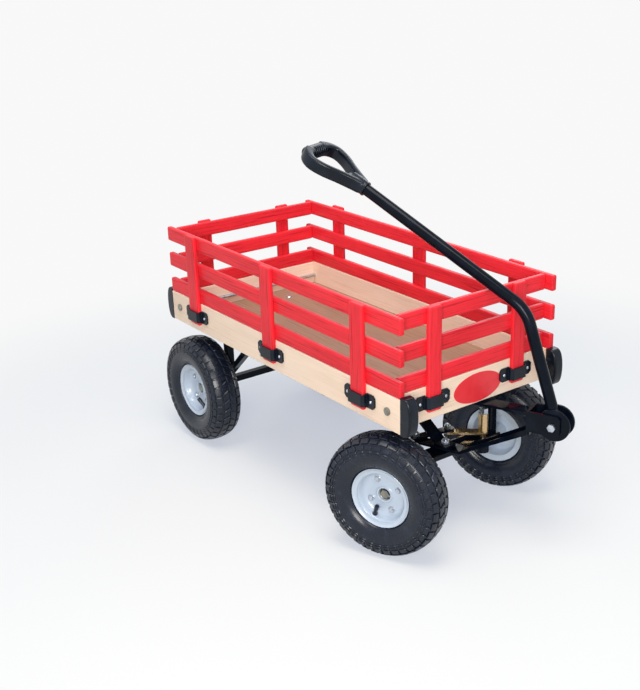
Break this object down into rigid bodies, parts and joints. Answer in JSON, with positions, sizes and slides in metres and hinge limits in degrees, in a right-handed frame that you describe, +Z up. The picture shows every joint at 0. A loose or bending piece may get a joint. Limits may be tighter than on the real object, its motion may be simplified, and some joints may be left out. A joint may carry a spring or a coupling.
{
  "type": "wooden pull wagon",
  "caption": "Wooden pull wagon with slatted lift-off racks, knobbly air tyres, steering front wheels and a swinging pull handle.",
  "frame": {"origin": "on the ground, in the middle of the overall length and width", "axes": "+X forward to the handle end, +Y to the wagon's left, +Z up"},
  "size_m": [1.076, 0.5398, 0.7839],
  "materials": {
    "pale_wood": "clear satin varnish on pale hardwood",
    "floor_wood": "thin brown stain, matt",
    "red_wood": "red stain with satin varnish, grain showing",
    "black_plastic": "moulded, satin",
    "black_paint": "gloss black powder coat",
    "rubber": "matt black tyre rubber",
    "rim_paint": "pale gloss paint on a pressed steel rim",
    "zinc": "bright zinc plating",
    "gold_zinc": "yellow passivated zinc plating"
  },
  "bodies": {
    "bed": {"bed_floor": "floor_wood", "side_board_left": "pale_wood", "side_board_right": "pale_wood", "end_board_front": "pale_wood", "end_board_rear": "pale_wood", "corner_cap_front_left": "black_plastic", "corner_cap_front_right": "black_plastic", "corner_cap_rear_left": "black_plastic", "corner_cap_rear_right": "black_plastic", "tie_rod_front": "zinc", "tie_rod_rear": "zinc", "pocket_left_front": "black_plastic", "pocket_left_middle": "black_plastic", "pocket_left_rear": "black_plastic", "pocket_right_front": "black_plastic", "pocket_right_middle": "black_plastic", "pocket_right_rear": "black_plastic", "pocket_front_left": "black_plastic", "pocket_front_right": "black_plastic", "pocket_rear_left": "black_plastic", "pocket_rear_right": "black_plastic", "rail_front_1": "red_wood", "rail_front_2": "red_wood", "rail_front_3": "red_wood", "stake_front_1": "red_wood", "stake_front_2": "red_wood", "rear_frame": "black_paint", "front_frame": "black_paint"},
    "rack_right": {"rail_right_1": "red_wood", "rail_right_2": "red_wood", "rail_right_3": "red_wood", "stake_right_1": "red_wood", "stake_right_2": "red_wood", "stake_right_3": "red_wood"},
    "rack_left": {"rail_left_1": "red_wood", "rail_left_2": "red_wood", "rail_left_3": "red_wood", "stake_left_1": "red_wood", "stake_left_2": "red_wood", "stake_left_3": "red_wood"},
    "rack_rear": {"rail_rear_1": "red_wood", "rail_rear_2": "red_wood", "rail_rear_3": "red_wood", "stake_rear_1": "red_wood", "stake_rear_2": "red_wood"},
    "tongue_body": {"tongue": "black_paint", "clevis_bolt": "zinc"},
    "tie_bar_body": {"tie_bar": "black_paint"},
    "knuckle_left": {"left_spindle": "gold_zinc"},
    "knuckle_right": {"right_spindle": "gold_zinc"},
    "handle": {"handle_tube": "black_paint", "handle_grip": "black_plastic"},
    "wheel_rear_left": {"tyre_rear_left": "rubber", "rim_rear_left": "rim_paint"},
    "wheel_rear_right": {"tyre_rear_right": "rubber", "rim_rear_right": "rim_paint"},
    "wheel_front_left": {"tyre_front_left": "rubber", "rim_front_left": "rim_paint"},
    "wheel_front_right": {"tyre_front_right": "rubber", "rim_front_right": "rim_paint"}
  },
  "joints": [
    {"name": "tongue_steer", "type": "hinge", "parent": "bed", "child": "tongue_body", "pos_m": [0.27598, 0, 0.164], "axis": [0, 0, 1], "range_deg": [-50.5, 5.5]},
    {"name": "knuckle_left_steer", "type": "hinge", "parent": "bed", "child": "knuckle_left", "pos_m": [0.27598, 0.11, 0.164], "axis": [0, 0, 1], "range_deg": [-50.5, 5.5]},
    {"name": "knuckle_right_steer", "type": "hinge", "parent": "bed", "child": "knuckle_right", "pos_m": [0.27598, -0.11, 0.164], "axis": [0, 0, 1], "range_deg": [-50.5, 5.5]},
    {"name": "tie_bar_swing", "type": "hinge", "parent": "tongue_body", "child": "tie_bar_body", "pos_m": [0.2113, -0.02679, 0.17], "axis": [0, 0, 1], "range_deg": [-8, 72]},
    {"name": "handle_pitch", "type": "hinge", "parent": "tongue_body", "child": "handle", "pos_m": [0.50011, 0.09284, 0.2714], "axis": [-0.3827, 0.9239, 0], "range_deg": [0, 150]},
    {"name": "rack_right_lift", "type": "slide", "parent": "bed", "child": "rack_right", "axis": [0, 0, 1], "range_m": [0, 0.09]},
    {"name": "rack_left_lift", "type": "slide", "parent": "bed", "child": "rack_left", "axis": [0, 0, 1], "range_m": [0, 0.09]},
    {"name": "rack_rear_lift", "type": "slide", "parent": "bed", "child": "rack_rear", "axis": [0, 0, 1], "range_m": [0, 0.09]},
    {"name": "wheel_rear_left_spin", "type": "hinge", "parent": "bed", "child": "wheel_rear_left", "pos_m": [-0.40603, 0.198, 0.132], "axis": [0, 1, 0], "continuous": true},
    {"name": "wheel_rear_right_spin", "type": "hinge", "parent": "bed", "child": "wheel_rear_right", "pos_m": [-0.40603, -0.198, 0.132], "axis": [0, 1, 0], "continuous": true},
    {"name": "wheel_front_left_spin", "type": "hinge", "parent": "knuckle_left", "child": "wheel_front_left", "pos_m": [0.2423, 0.1913, 0.132], "axis": [-0.3827, 0.9239, 0], "continuous": true},
    {"name": "wheel_front_right_spin", "type": "hinge", "parent": "knuckle_right", "child": "wheel_front_right", "pos_m": [0.30965, -0.1913, 0.132], "axis": [-0.3827, 0.9239, 0], "continuous": true}
  ],
  "couplings": [
    {"joint": "knuckle_left_steer", "follows": "tongue_steer", "ratio": 1},
    {"joint": "knuckle_right_steer", "follows": "tongue_steer", "ratio": 1},
    {"joint": "tie_bar_swing", "follows": "tongue_steer", "ratio": -1.42}
  ]
}
